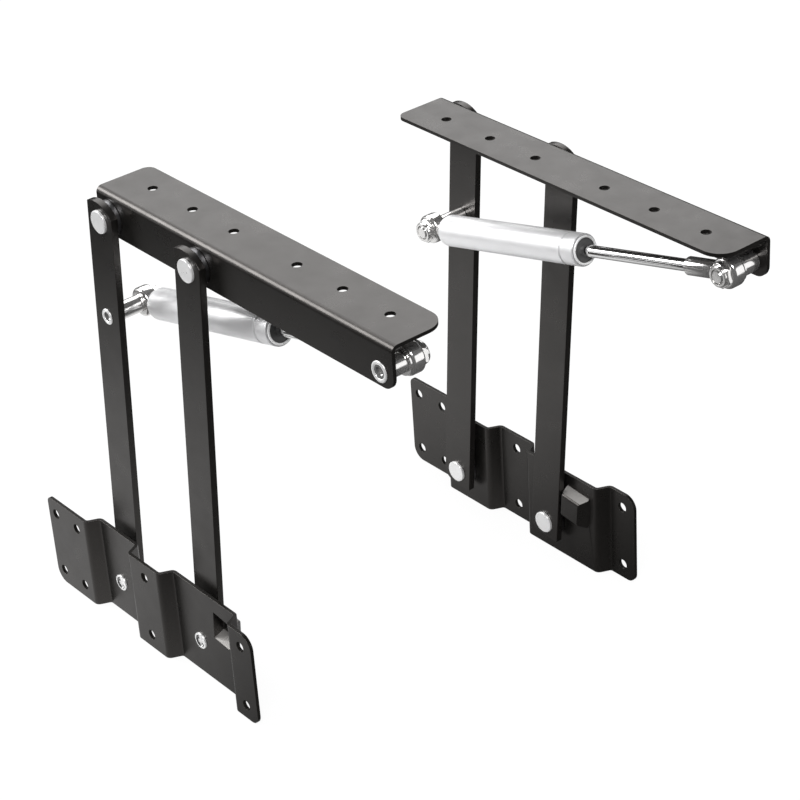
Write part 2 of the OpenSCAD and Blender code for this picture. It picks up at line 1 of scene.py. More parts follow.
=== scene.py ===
"""Looks of a pair of lift top table mechanisms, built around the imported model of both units."""
import json
import math

import bmesh
import bpy
import numpy as np
from mathutils import Matrix, Vector


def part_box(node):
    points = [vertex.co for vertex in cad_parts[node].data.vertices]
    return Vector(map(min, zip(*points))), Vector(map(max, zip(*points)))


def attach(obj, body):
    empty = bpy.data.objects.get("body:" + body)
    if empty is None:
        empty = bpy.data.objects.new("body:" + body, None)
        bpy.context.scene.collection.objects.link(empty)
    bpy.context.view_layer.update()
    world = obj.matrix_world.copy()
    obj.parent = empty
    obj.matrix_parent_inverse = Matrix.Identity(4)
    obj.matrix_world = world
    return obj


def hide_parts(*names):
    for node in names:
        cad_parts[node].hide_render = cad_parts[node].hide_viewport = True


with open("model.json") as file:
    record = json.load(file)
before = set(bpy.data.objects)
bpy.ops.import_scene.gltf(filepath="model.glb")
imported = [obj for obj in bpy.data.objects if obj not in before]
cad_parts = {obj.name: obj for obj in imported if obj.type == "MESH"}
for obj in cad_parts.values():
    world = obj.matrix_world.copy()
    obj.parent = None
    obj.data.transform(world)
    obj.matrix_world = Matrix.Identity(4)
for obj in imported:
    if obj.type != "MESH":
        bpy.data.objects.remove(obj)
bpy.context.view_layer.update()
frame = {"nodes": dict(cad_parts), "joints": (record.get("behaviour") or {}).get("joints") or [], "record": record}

bl_info = {
    "name": "Lift top mechanism looks",
    "version": (1, 0, 0),
    "blender": (4, 5, 0),
    "location": "View3D > Sidebar > Lift top",
    "description": "Builds the painted sheet parts, rivets, pins, nuts and gas struts",
    "category": "Object",
}

SIDES = ("left", "right")
JOINTS = {joint["name"]: joint for joint in frame["joints"]}
MATERIALS = {}

# Sizes of one unit in metres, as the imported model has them

SHEET = 0.0025
ARM_THICK = 0.005
WEB_IN = 0.0123  # from the mounting face to just past the inner face of the web
RIVET_HEAD_R = 0.008
RIVET_SHANK_R = 0.005
RIVET_TAIL_R = 0.00615
EYE_HALF = 0.005
THREAD_R = 0.005
TUBE_R = 0.011
TUBE_START = 0.0146
TUBE_END = 0.159
ROD_R = 0.004
# for each pin: ring radius, radius of the hollow round its socket (only in the looks), thickness
# of the sheet it goes through, sleeve radius
PIN_SIZES = {"rear_pin": (0.0057, 0.0033, ARM_THICK, 0.006),
             "front_pin": (0.007, 0.0044, SHEET, 0.007)}

# Fine sizes in metres

CLEAR = 0.0001  # small gap between pieces, or a small step
RING_SEAT = 0.0008  # from the top of a riveted ring down to the flat it sits on
RING_END = 0.0009  # from the same top down to the sheet under the ring
GRAIN_DEPTH = 0.00005  # of every fine bump

# The painted slopes of the stop pocket, by the parts of their normals along y and z

SLOPE_IN = 0.3
SLOPE_UP = 0.85

# Camera and lamps

FRAME_PX = 800
SENSOR_MM = 36.0
# the reference point lies in the right unit's mounting face, so far ahead of the rear end and up
POINT_AHEAD = 0.1295
POINT_UP = 0.1944
# name, place, target, width in metres, power in watts
LAMPS = (
    ("top_softbox", (-1.45, -0.1, 1.75), (0, 0, 0.2), 0.9, 5.0),
    ("back_softbox", (-1.25, 0.95, 1.45), (0, 0, 0.2), 1.5, 15.5),
    ("front_softbox", (-1.6, -1.1, 1.4), (0, 0, 0.3), 1.05, 32.0),
    ("low_softbox", (-1.75, -1.0, 0.45), (0, 0, 0.2), 1.2, 3.5),
    ("right_softbox", (1.6, 1.0, 0.45), (0, 0, 0.2), 1.5, 7.0),
    ("near_softbox", (0.95, -0.9, 1.75), (0, 0, 0.2), 0.8, 22.0),
)


class LiftStage(bpy.types.PropertyGroup):
    yaw: bpy.props.FloatProperty(
        name="Yaw", description="Turn of the view about the vertical",
        default=math.radians(52.02), unit="ROTATION")
    pitch: bpy.props.FloatProperty(
        name="Pitch", description="Height angle of the view",
        default=math.radians(30.99), unit="ROTATION")
    roll: bpy.props.FloatProperty(
        name="Roll", description="Roll of the view", default=math.radians(-3.92), unit="ROTATION")
    distance: bpy.props.FloatProperty(
        name="Distance", description="Camera distance from the reference point",
        default=1.71502, unit="LENGTH")
    focal_px: bpy.props.FloatProperty(
        name="Focal length", description="Focal length in pixels of an 800 pixel frame",
        default=2414.24)
    point_u: bpy.props.FloatProperty(
        name="Reference column", description="Image column of the reference point", default=520.54)
    point_v: bpy.props.FloatProperty(
        name="Reference row", description="Image row of the reference point", default=292.15)
    floor_size: bpy.props.FloatProperty(
        name="Floor size", description="Width of the floor sheet", default=14.0, unit="LENGTH")


class LiftLooks(bpy.types.PropertyGroup):
    paint: bpy.props.FloatVectorProperty(
        name="Paint", description="Colour of the satin black powder coat",
        default=(0.0075, 0.007, 0.0064), size=3, subtype="COLOR")
    paint_rough: bpy.props.FloatProperty(
        name="Paint roughness", description="Gloss of the powder coat", default=0.30, subtype="FACTOR")
    edge_r: bpy.props.FloatProperty(
        name="Edge radius", description="Rounding of the cut sheet edges",
        default=0.0005, unit="LENGTH")
    tube: bpy.props.FloatVectorProperty(
        name="Tube", description="Colour of the satin silver strut tubes",
        default=(0.92, 0.92, 0.93), size=3, subtype="COLOR")
    plate: bpy.props.FloatVectorProperty(
        name="Plating", description="Colour of the bright plated pins and nuts",
        default=(0.94, 0.93, 0.92), size=3, subtype="COLOR")


# Materials

def new_material(name):
    """A material with its principled shader, ready for nodes."""
    mat = bpy.data.materials.new(name)
    mat.use_nodes = True
    return mat, mat.node_tree, mat.node_tree.nodes["Principled BSDF"]


def link_noise(tree, scale, detail=3.0):
    """A noise texture on object coordinates; returns its factor socket."""
    coord = tree.nodes.new("ShaderNodeTexCoord")
    noise = tree.nodes.new("ShaderNodeTexNoise")
    noise.inputs["Scale"].default_value = scale
    noise.inputs["Detail"].default_value = detail
    tree.links.new(coord.outputs["Object"], noise.inputs["Vector"])
    return noise.outputs["Fac"]


def link_range(tree, source, start, end, first, last, smooth=False):
    """A value that goes from first to last while the source goes from start to end."""
    node = tree.nodes.new("ShaderNodeMapRange")
    if smooth:
        node.interpolation_type = "SMOOTHSTEP"
    node.inputs["From Min"].default_value = start
    node.inputs["From Max"].default_value = end
    node.inputs["To Min"].default_value = first
    node.inputs["To Max"].default_value = last
    tree.links.new(source, node.inputs["Value"])
    return node.outputs["Result"]


def link_gloss(tree, shader, scale, low, high):
    """Roughness that wanders between low and high; most of a noise lies from 0.3 to 0.7."""
    rough = link_range(tree, link_noise(tree, scale), 0.3, 0.7, low, high)
    tree.links.new(rough, shader.inputs["Roughness"])


def link_bump(tree, shader, source, strength):
    """A fine bump of the given strength from a height socket."""
    bump = tree.nodes.new("ShaderNodeBump")
    bump.inputs["Strength"].default_value = strength
    bump.inputs["Distance"].default_value = GRAIN_DEPTH
    tree.links.new(source, bump.inputs["Height"])
    tree.links.new(bump.outputs["Normal"], shader.inputs["Normal"])


def paint_material(looks, name="satin_black_coat", gloss=0.65):
    """Satin black powder coat: fine orange peel, and slow changes of gloss and tone."""
    darker, lighter = 0.85, 1.2
    rough_change = 0.04
    tone_scale, gloss_scale, peel_scale = 22.0, 60.0, 1400.0
    warm_tint = (1.0, 0.94, 0.90, 1)
    mat, tree, shader = new_material(name)
    mix = tree.nodes.new("ShaderNodeMix")
    mix.data_type = "RGBA"
    tree.links.new(link_noise(tree, tone_scale), mix.inputs["Factor"])
    mix.inputs["A"].default_value = [c * darker for c in looks.paint] + [1]
    mix.inputs["B"].default_value = [c * lighter for c in looks.paint] + [1]
    tree.links.new(mix.outputs["Result"], shader.inputs["Base Color"])
    link_gloss(tree, shader, gloss_scale, looks.paint_rough - rough_change,
               looks.paint_rough + rough_change)
    shader.inputs["Specular IOR Level"].default_value = gloss
    shader.inputs["Specular Tint"].default_value = warm_tint
    link_bump(tree, shader, link_noise(tree, peel_scale, detail=2.0), strength=0.10)
    return mat


def metal_material(name, colour, rough, grain=0.0, grain_scale=900.0, metallic=1.0):
    """Bare or plated metal, with slight changes of gloss and, where asked, a fine grain."""
    gloss_scale = 150.0
    smoother, rougher = 0.8, 1.2
    mat, tree, shader = new_material(name)
    shader.inputs["Base Color"].default_value = (*colour, 1)
    link_gloss(tree, shader, gloss_scale, rough * smoother, rough * rougher)
    shader.inputs["Metallic"].default_value = metallic
    if grain:
        link_bump(tree, shader, link_noise(tree, grain_scale, detail=2.0), grain)
    return mat


def dull_material(name, colour, rough):
    """Rubber or plastic with a fine matt grain."""
    grain_scale = 1200.0
    mat, tree, shader = new_material(name)
    shader.inputs["Base Color"].default_value = (*colour, 1)
    shader.inputs["Roughness"].default_value = rough
    link_bump(tree, shader, link_noise(tree, grain_scale), strength=0.2)
    return mat


def make_materials(looks):
    """All finishes: first those of single faces, rings and inserts, then the record's slots."""
    return {
        "cut_edge": paint_material(looks, "thin_coat_on_cut_edges", gloss=0.08),
        # painted sheen: a lighter grey metal for the stop pocket's upward slopes, in place of the light they
        # reflect
        "pocket_painted_sheen": metal_material("stop_slope_painted_sheen", (0.30, 0.29, 0.28), rough=0.35,
                                      grain=0.1, metallic=0.4),
        "bright_rim": metal_material("tube_rim_bright", (0.98, 0.98, 0.98), rough=0.3,
                                     metallic=0.1),
        # also painted shade: this dark nylon finish goes on the faces of each pin's hollow too
        "nylon": dull_material("nut_nylon_and_hollow_shade", (0.10, 0.10, 0.10), rough=0.5),
        "black_paint": paint_material(looks),
        "rivet_steel": metal_material("rivet_bright_zinc", (0.97, 0.97, 0.97), rough=0.32,
                                      grain=0.05, metallic=0.55),
        "dark_washer": metal_material("washer_dull_zinc", (0.30, 0.30, 0.31), rough=0.38,
                                      grain=0.08),
        "plated_steel": metal_material("pin_nickel_plate", looks.plate, rough=0.15, grain=0.03,
                                       metallic=0.9),
        "satin_aluminium": metal_material("tube_satin_silver", looks.tube, rough=0.38,
                                          grain=0.12, grain_scale=2600.0, metallic=0.55),
        # also painted shade: this darker steel goes in the groove and dents of each staked rivet tail
        "dark_guide": metal_material("guide_turned_and_stake_shade", (0.30, 0.30, 0.30), rough=0.35, grain=0.05),
        "seal_rubber": dull_material("seal_rubber", (0.08, 0.08, 0.08), rough=0.5),
        "chrome_rod": metal_material("rod_hard_chrome", (0.97, 0.97, 0.97), rough=0.08),
    }


# Mesh helpers

def finish_piece(obj, body, slot, look=None, sharp=35.0):
    """Smooth shading with sharp corners, its finish (the look, or else the slot's) and its body."""
    mesh = obj.data
    mesh.polygons.foreach_set("use_smooth", np.ones(len(mesh.polygons), dtype=bool))
    mesh.set_sharp_from_angle(angle=math.radians(sharp))
    mesh.materials.clear()
    mesh.materials.append(MATERIALS[look or slot])
    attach(obj, body)


def second_look(obj, look, chosen):
    """Gives the faces that chosen(centres, normals) picks a second finish."""
    mesh = obj.data
    mesh.materials.append(MATERIALS[look])
    centre, normal = np.empty(len(mesh.polygons) * 3), np.empty(len(mesh.polygons) * 3)
    mesh.polygons.foreach_get("center", centre)
    mesh.polygons.foreach_get("normal", normal)
    index = np.zeros(len(mesh.polygons), dtype=np.int32)
    mesh.polygons.foreach_get("material_index", index)
    index[chosen(centre.reshape(-1, 3), normal.reshape(-1, 3))] = len(mesh.materials) - 1
    mesh.polygons.foreach_set("material_index", index)


def add_mesh(name, points, faces):
    """A mesh object at the origin from arrays of points and faces, merged and turned outwards."""
    same_point, no_length = 1e-7, 1e-8
    mesh = bpy.data.meshes.new(name)
    mesh.from_pydata(points.tolist(), [], faces.tolist())
    bm = bmesh.new()
    bm.from_mesh(mesh)
    bmesh.ops.remove_doubles(bm, verts=bm.verts, dist=same_point)
    bmesh.ops.dissolve_degenerate(bm, edges=bm.edges, dist=no_length)
    bmesh.ops.recalc_face_normals(bm, faces=bm.faces)
    bm.to_mesh(mesh)
    bm.free()
    obj = bpy.data.objects.new(name, mesh)
    bpy.context.scene.collection.objects.link(obj)
    return obj


def turned(name, centre, axis, profile, steps=64, shape=None):
    """A turned piece: point (t, a) = centre + axis*h(t) + r(t)*(cos a, sin a) across the axis.

    profile is a list of (r, h) in metres from one end of the axis to the other; shape(r, h, a)
    may return changed r and h, for marks that go round it."""
    rh = np.array(profile, dtype=float)
    axis = np.array(Vector(axis).normalized())
    upright = abs(axis[2]) >= 0.9
    side = np.cross(axis, (1.0, 0.0, 0.0) if upright else (0.0, 0.0, 1.0))
    side /= np.linalg.norm(side)
    other = np.cross(axis, side)
    angle = np.linspace(0, 2 * math.pi, steps, endpoint=False)
    r, a = np.meshgrid(rh[:, 0], angle, indexing="ij")
    h = np.repeat(rh[:, 1:2], steps, axis=1)
    if shape:
        r, h = shape(r, h, a)
    points = (np.array(centre) + h[..., None] * axis
              + r[..., None] * (np.cos(a)[..., None] * side + np.sin(a)[..., None] * other))
    rows, cols = r.shape
    i, j = np.meshgrid(np.arange(rows - 1), np.arange(cols), indexing="ij")
    nxt = (j + 1) % cols
    faces = np.stack([i * cols + j, i * cols + nxt, (i + 1) * cols + nxt, (i + 1) * cols + j], -1)
    return add_mesh(name, points.reshape(-1, 3), faces.reshape(-1, 4))


def arc(centre_r, centre_h, radius, start, end, steps=6):
    """Profile points on an arc: the centre plus radius times (cos a, sin a), where a goes from
    start to end in degrees and is 0 in the +r direction."""
    a = np.radians(np.linspace(start, end, steps + 1))
    return list(zip(centre_r + radius * np.cos(a), centre_h + radius * np.sin(a)))


def softened_copy(node, name, width, segments, angle=32.0, edit=None):
    """A copy of a model node with its flats joined and its corners rounded by a bevel."""
    same_point = 2e-6
    flat_angle = 0.6
    mesh = frame["nodes"][node].data.copy()
    bm = bmesh.new()
    bm.from_mesh(mesh)
    bmesh.ops.remove_doubles(bm, verts=bm.verts, dist=same_point)
    bmesh.ops.dissolve_limit(bm, angle_limit=math.radians(flat_angle), verts=bm.verts,
                             edges=bm.edges)
    if edit:
        edit(bm)
    bm.to_mesh(mesh)
    bm.free()
    mesh.name = name
    obj = bpy.data.objects.new(name, mesh)
    bpy.context.scene.collection.objects.link(obj)
    bevel = obj.modifiers.new("edge_rounding", "BEVEL")
    bevel.width = width
    bevel.segments = segments
    bevel.limit_method = "ANGLE"
    bevel.angle_limit = math.radians(angle)
    weigh = obj.modifiers.new("flat_shading", "WEIGHTED_NORMAL")
    weigh.keep_sharp = False
    return obj


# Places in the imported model

def joint_place(side, name):
    """The place of one of a unit's joints."""
    return np.array(JOINTS[f"{side}_{name}"]["pos_m"])


def front_pin_place(side):
    """The middle of the front pin in x and z; its y is left at 0."""
    low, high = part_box(f"{side}_front_pin")
    return np.array(((low[0] + high[0]) / 2, 0.0, (low[2] + high[2]) / 2))


def inboard(side):
    """Unit vector from a unit's mounting face towards the middle of the pair."""
    return np.array((0.0, 1.0 if side == "left" else -1.0, 0.0))


def span(node):
    """Lowest and highest y of a node, ordered from its unit's mounting face inboard."""
    low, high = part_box(node)
    return (low[1], high[1]) if node.startswith("left") else (high[1], low[1])


def along(node, origin, axis):
    """Lowest and highest distance of a node's points from the origin, measured along the axis."""
    mesh = frame["nodes"][node].data
    points = np.empty(len(mesh.vertices) * 3)
    mesh.vertices.foreach_get("co", points)
    distance = (points.reshape(-1, 3) - origin) @ np.array(axis)
    return distance.min(), distance.max()


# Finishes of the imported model

class LIFT_OT_finishes(bpy.types.Operator):
    """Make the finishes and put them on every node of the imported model"""
    bl_idname = "lift.finishes"
    bl_label = "Finishes"

    def execute(self, context):
        MATERIALS.update(make_materials(context.scene.lift_looks))
        for part in frame["record"]["subparts"]:
            data = frame["nodes"][part["node"]].data
            data.materials.clear()
            data.materials.append(MATERIALS[part["material_slot"]])
        return {"FINISHED"}


# Sheet parts

class LIFT_OT_sheet_parts(bpy.types.Operator):
    """Build the base plates, arms and top brackets with rounded, painted edges"""
    bl_idname = "lift.sheet_parts"
    bl_label = "Sheet parts"

    def execute(self, context):
        width = context.scene.lift_looks.edge_r
        bodies = {"base_plate": "bases", "rear_arm": "rear_link", "front_arm": "front_link",
                  "top_bracket": "bracket"}
        for side in SIDES:
            for part, body in bodies.items():
                node = f"{side}_{part}"
                edit = round_pocket(side) if part == "base_plate" else None
                obj = softened_copy(node, f"{node}_painted", width, segments=3, edit=edit)
                finish_piece(obj, body if body == "bases" else f"{side}_{body}", "black_paint",
                             sharp=180.0)
                if edit:
                    self.dull_edges(obj, side)
                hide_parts(node)
        return {"FINISHED"}

    def dull_edges(self, obj, side):
        """Second finishes of a base plate: a thin coat on cut edges and hole walls, whose normals
        lie in the sheet, and a painted sheen on the stop pocket's upward slopes, a lighter grey
        metal that stands in for the light they reflect."""
        nearly_none = 0.05
        face = span(f"{side}_base_plate")[0]

        def cut(centre, normal):
            return ((np.abs(normal[:, 1]) < nearly_none)
                    & (np.abs(centre[:, 1] - face) < WEB_IN))

        def upward_slope(centre, normal):
            return ((normal[:, 2] > SLOPE_UP) & (np.abs(normal[:, 1]) > SLOPE_IN)
                    & (np.abs(centre[:, 1] - face) > WEB_IN))

        second_look(obj, "cut_edge", cut)
        # painted highlight: the pocket's upward slopes get a lighter grey metal in place of the light they reflect
        second_look(obj, "pocket_painted_sheen", upward_slope)
        # the rounded edges themselves keep the first finish, the black paint
        obj.modifiers["edge_rounding"].material = 0


def round_pocket(side):
    """An edit for a base plate's copy: joins slivers at the stop pocket and rounds its rim.

    The slivers lie from near_start to near_end ahead of the rear end, and higher than near_up. The
    rim is where a slope meets the pocket's flat face, further inboard than rim_in."""
    near_start, near_end, near_up = 0.184, 0.212, 0.035
    sliver = 0.0007
    rim_in = 0.0165
    rim_round, rim_steps = 0.0017, 4
    no_length = 1e-5
    plate = f"{side}_base_plate"
    start, face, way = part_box(plate)[0][0], span(plate)[0], inboard(side)[1]

    def sloped(side_face):
        return side_face.normal.y * way > SLOPE_IN and abs(side_face.normal.z) > SLOPE_UP

    def edit(bm):
        near = [v for v in bm.verts
                if near_start < v.co.x - start < near_end and v.co.z > near_up]
        bmesh.ops.remove_doubles(bm, verts=near, dist=sliver)
        rim = [e for e in bm.edges if len(e.link_faces) == 2
               and sloped(e.link_faces[0]) != sloped(e.link_faces[1])
               and min((v.co.y - face) * way for v in e.verts) > rim_in]
        bmesh.ops.bevel(bm, geom=rim, offset=rim_round, offset_type="OFFSET", segments=rim_steps,
                        profile=0.5, affect="EDGES", clamp_overlap=False)
        # the bevel leaves edges of no length, where the later rounding would fold the surface
        bmesh.ops.dissolve_degenerate(bm, dist=no_length, edges=bm.edges)
    return edit


# Rivets

class LIFT_OT_rivets(bpy.types.Operator):
    """Build the pivot rivets, with softly domed heads and staked tails"""
    bl_idname = "lift.rivets"
    bl_label = "Rivets"

    def execute(self, context):
        pitch = joint_place("left", "front_arm_pivot")[0] - joint_place("left", "fold")[0]
        for side in SIDES:
            for level, joint, body in (("base", "fold", "bases"),
                                       ("top", "bracket_pivot", f"{side}_bracket")):
                node = f"{side}_{level}_rivets"
                outer, inner = span(node)
                way = inboard(side) * (1 if level == "top" else -1)
                head_y = outer if level == "top" else inner
                length = abs(inner - outer)
                for k, name in ((0, "rear"), (1, "front")):
                    place = joint_place(side, joint) + np.array((k * pitch, 0, 0))
                    place[1] = head_y
                    rivet = turned(f"{node}_{name}", place, way, rivet_profile(length),
                                   shape=staked(length))
                    finish_piece(rivet, body, "rivet_steel", sharp=28.0)
                    self.stake_marks(rivet, place, way, length)
                    if k == 0:
                        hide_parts(node)
        return {"FINISHED"}

    def stake_marks(self, rivet, place, way, length):
        """Painted shade in the groove round the tail's middle and in the three dents: they take the
        guide's darker steel in place of the shade that falls there.
        """
        groove_r, groove_half = 0.0040, 0.0005
        near_end, dent_depth = 0.0022, 0.00115

        def chosen(centre, normal):
            depth = length - (centre - place) @ way
            out = np.linalg.norm((centre - place) * (1, 0, 1), axis=1)
            return (depth < near_end) & ((np.abs(out - groove_r) < groove_half)
                                         | ((depth > dent_depth) & (out < groove_r)))
        # painted shade: the groove and dents get the guide's darker steel in place of their shade
        second_look(rivet, "dark_guide", chosen)


def rivet_profile(length):
    """Head with a rolled rim, straight shank and a staked tail; h = 0 is the head's face. The
    dome is (r, height) points, the recess is (r, depth below the tail's end) points."""
    head_end, tail_start = 0.0018, length - 0.0012
    head_edge, tail_edge = 0.0006, 0.0005
    dome = [(0, 0.00008), (0.0035, 0.00006), (0.0062, 0.0)]
    recess = [(0.0047, 0), (0.0042, 0.0004), (0.0036, 0.0009), (0.0024, 0.0009),
              (0.0012, 0.0007), (0, 0.0006)]
    return (
        dome
        + arc(RIVET_HEAD_R - head_edge, head_edge, head_edge, -90, 0)
        + [(RIVET_HEAD_R, head_end), (RIVET_SHANK_R, head_end), (RIVET_SHANK_R, tail_start),
           (RIVET_TAIL_R, tail_start)]
        + arc(RIVET_TAIL_R - tail_edge, length - tail_edge, tail_edge, 0, 90, 4)
        + [(r, length - depth) for r, depth in recess]
    )


def staked(length):
    """Three dents round the tail: the depth is the squared cosine of three times the angle, and
    falls off evenly on both sides of the ring they lie on."""
    ring_r, ring_half, reach, depth = 0.003, 0.0019, 0.0011, 0.0009
    turn = 0.6

    def shape(r, h, a):
        ring = np.clip(1 - np.abs(r - ring_r) / ring_half, 0, 1) * (h > length - reach)
        dent = np.clip(np.cos(3 * a + turn), 0, 1) ** 2
        return r, h - depth * ring * dent
    return shape


# Pins and nuts

class LIFT_OT_pins(bpy.types.Operator):
    """Build the turned strut pins with their rings, sleeves and threaded ends, and the nuts"""
    bl_idname = "lift.pins"
    bl_label = "Pins and nuts"

    def execute(self, context):
        for side in SIDES:
            way = inboard(side)
            rear, front = joint_place(side, "strut_pivot"), front_pin_place(side)
            sleeve_end = abs(rear_eye_face(side) - span(f"{side}_rear_pin")[0]) - CLEAR
            self.pin(side, "rear_pin", "rear_link", way, rear, sleeve_end)
            self.pin(side, "front_pin", "bracket", way, front)
            self.stud(side, way, front)
            for node, body in (("rear_nut", "rear_link"), ("front_nut", "rod")):
                nut = softened_copy(f"{side}_{node}", f"{side}_{node}_plated", width=0.00025,
                                    segments=2, angle=25.0)
                finish_piece(nut, f"{side}_{body}", "plated_steel", sharp=180.0)
                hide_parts(f"{side}_{node}")
                self.nylon(side, node, body, way)
        return {"FINISHED"}

    def pin(self, side, node, body, way, place, sleeve_end=None):
        """A turned pin with its riveted ring; where its sleeve ends before it does, the rest is a
        thread."""
        ring_r, hollow_r, through, sleeve_r = PIN_SIZES[node]
        outer, inner = span(f"{side}_{node}")
        place[1] = outer
        length = abs(inner - outer)
        pin = turned(f"{side}_{node}_turned", place, way,
                     pin_profile(ring_r, hollow_r, RING_END + through, sleeve_r,
                                 sleeve_end or length, length))
        finish_piece(pin, f"{side}_{body}", "plated_steel")
        self.riveted_end(side, node, body, pin, way, place, ring_r, hollow_r)
        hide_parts(f"{side}_{node}")

    def riveted_end(self, side, node, body, pin, way, place, ring_r, hollow_r):
        """The bright riveted ring on a pin's outer end, and painted shade in its hollow: the dark nylon
        finish on the hollow's faces stands in for the shade there.
        """
        painted_shade_depth = 0.0021
        ring = turned(f"{side}_{node}_riveted_ring", place, way,
                      crown(hollow_r, ring_r, RING_SEAT) + [(hollow_r, RING_SEAT)])
        finish_piece(ring, f"{side}_{body}", "plated_steel", "rivet_steel")
        # painted shade: the hollow's faces take the dark nylon finish in place of the shade inside it
        second_look(pin, "nylon", lambda centre, normal: (
            ((centre - place) @ way < painted_shade_depth)
            & (np.linalg.norm((centre - place) * (1, 0, 1), axis=1) < hollow_r)))

    def stud(self, side, way, front):
        """The threaded end of the front pin."""
        thread_start = 0.0105
        outer, inner = span(f"{side}_front_stud")
        place = np.array((front[0], outer, front[2]))
        length = abs(inner - outer)
        stud = turned(f"{side}_front_stud_threaded", place, way,
                      [(0, 0), (THREAD_R, 0)] + thread_profile(thread_start, length)
                      + [(0, length)])
        finish_piece(stud, f"{side}_rod", "plated_steel", sharp=25.0)
        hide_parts(f"{side}_front_stud")

    def nylon(self, side, node, body, way):
        """A nut's plastic insert, of oblong section, and the rolled collar round it, of round
        section; heights are from the nut's inner end."""
        bore, outside, bottom, top = 0.00505, 0.0057, -0.0016, -0.0003
        roll_at, roll_r = 0.0062, 0.0007
        low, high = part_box(f"{side}_{node}")
        centre = [(low[0] + high[0]) / 2, span(f"{side}_{node}")[1], (low[2] + high[2]) / 2]
        ring = turned(f"{side}_{node}_insert", centre, way,
                      [(bore, bottom), (outside, bottom), (outside, top), (bore, top),
                       (bore, bottom)])
        finish_piece(ring, f"{side}_{body}", "plated_steel", "nylon")
        roll = turned(f"{side}_{node}_collar_roll", centre, way,
                      arc(roll_at, -roll_r, roll_r, 0, 360, 16))
        finish_piece(roll, f"{side}_{body}", "plated_steel")


def rear_eye_face(side):
    """The y of the face of the rear eye that meets the pin's sleeve."""
    return span(f"{side}_rear_nut")[0] - inboard(side)[1] * (2 * EYE_HALF + CLEAR)


def thread_profile(start, length, pitch=0.0015, depth=0.0007):
    """Rings of a rolled thread from start to a chamfered end: in each pitch the radius drops by
    the depth halfway and comes back."""
    chamfer, end_r = 0.0017, 0.0037
    crest_start, root, crest_end = 0.1, 0.5, 0.9
    count = int((length - chamfer - start) / pitch)
    points = [(THREAD_R, start)]
    for k in range(count):
        base = start + k * pitch
        points += [(THREAD_R, base + crest_start * pitch), (THREAD_R - depth, base + root * pitch),
                   (THREAD_R, base + crest_end * pitch)]
    return points + [(THREAD_R, length - chamfer), (end_r, length - CLEAR)]


def crown(inner, outer, depth, steps=12):
    """Half an ellipse across a ring, from its inner to its outer edge, with its top at h = 0."""
    a = np.linspace(0, math.pi, steps + 1)
    middle, half = (inner + outer) / 2, (outer - inner) / 2
    return list(zip(middle - half * np.cos(a), depth * (1 - np.sin(a))))


def pin_profile(ring_r, hollow_r, shank_end, sleeve_r, sleeve_end, end, socket_r=0.003):
    """Socket, hollow, flat for the riveted ring, shank, shoulder sleeve and, past the sleeve's
    end, a thread; h = 0 is the ring's top."""
    socket_end, socket_side, hollow_end = 0.0024, 0.0020, 0.0006
    socket_edge, hollow_edge, sleeve_edge = 0.0004, 0.0002, 0.0003
    shank_r = 0.0043
    profile = [
        (0, socket_end), (socket_r - socket_edge, socket_end), (socket_r, socket_side),
        (socket_r, RING_END), (socket_r + hollow_edge, hollow_end), (hollow_r, hollow_end),
        (hollow_r, RING_SEAT), (ring_r, RING_SEAT), (ring_r, RING_END), (shank_r, RING_END),
        (shank_r, shank_end), (sleeve_r - sleeve_edge, shank_end),
        (sleeve_r, shank_end + sleeve_edge), (sleeve_r, sleeve_end - sleeve_edge),
        (sleeve_r - sleeve_edge, sleeve_end),
    ]
    if end > sleeve_end:
        return profile + thread_profile(sleeve_end, end) + [(0, end - CLEAR)]
    return profile + [(0, sleeve_end)]


# Gas struts

class LIFT_OT_struts(bpy.types.Operator):
    """Build the gas struts: tubes with shoulder, groove and rolled rim, rods and eyes"""
    bl_idname = "lift.struts"
    bl_label = "Gas struts"

    def execute(self, context):
        rim_r, rim_half = 0.0091, 0.0008
        neck_root, into_tube = 0.006, 0.0003
        rod_end_length, rod_end_edge = 0.035, 0.0016
        for side in SIDES:
            axis = JOINTS[f"{side}_rod_slide"]["axis"]
            pin = joint_place(side, "strut_pivot")
            tube = turned(f"{side}_strut_tube_satin", pin, axis, tube_profile(), 96)
            finish_piece(tube, f"{side}_tube", "satin_aluminium", sharp=30.0)
            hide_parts(f"{side}_strut_tube")
            start, end = along(f"{side}_piston_rod", pin, axis)
            rod = turned(f"{side}_piston_rod_chrome", pin, axis,
                         [(0, start), (ROD_R, start), (ROD_R, end), (0, end)], 96)
            finish_piece(rod, f"{side}_rod", "chrome_rod")
            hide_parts(f"{side}_piston_rod")
            ring = turned(f"{side}_tube_rim_ring", pin, axis,
                          arc(rim_r, TUBE_END - rim_half, rim_half, 0, 360, 20), 96)
            finish_piece(ring, f"{side}_tube", "satin_aluminium", "bright_rim")
            reach = (front_pin_place(side) - pin) * (1, 0, 1) @ np.array(axis)
            for node, body, place, profile in (
                    ("tube_eye", "tube", 0, neck_profile(neck_root, TUBE_START + into_tube, 0)),
                    ("rod_end", "rod", reach,
                     neck_profile(-neck_root, -rod_end_length, rod_end_edge))):
                centre = pin + np.array(axis) * place
                ring = turned(f"{side}_{node}_ring", centre, inboard(side), eye_profile(), 80)
                neck = turned(f"{side}_{node}_neck", centre, axis, profile)
                for piece in (ring, neck):
                    finish_piece(piece, f"{side}_{body}", "plated_steel")
                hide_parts(f"{side}_{node}")
        return {"FINISHED"}


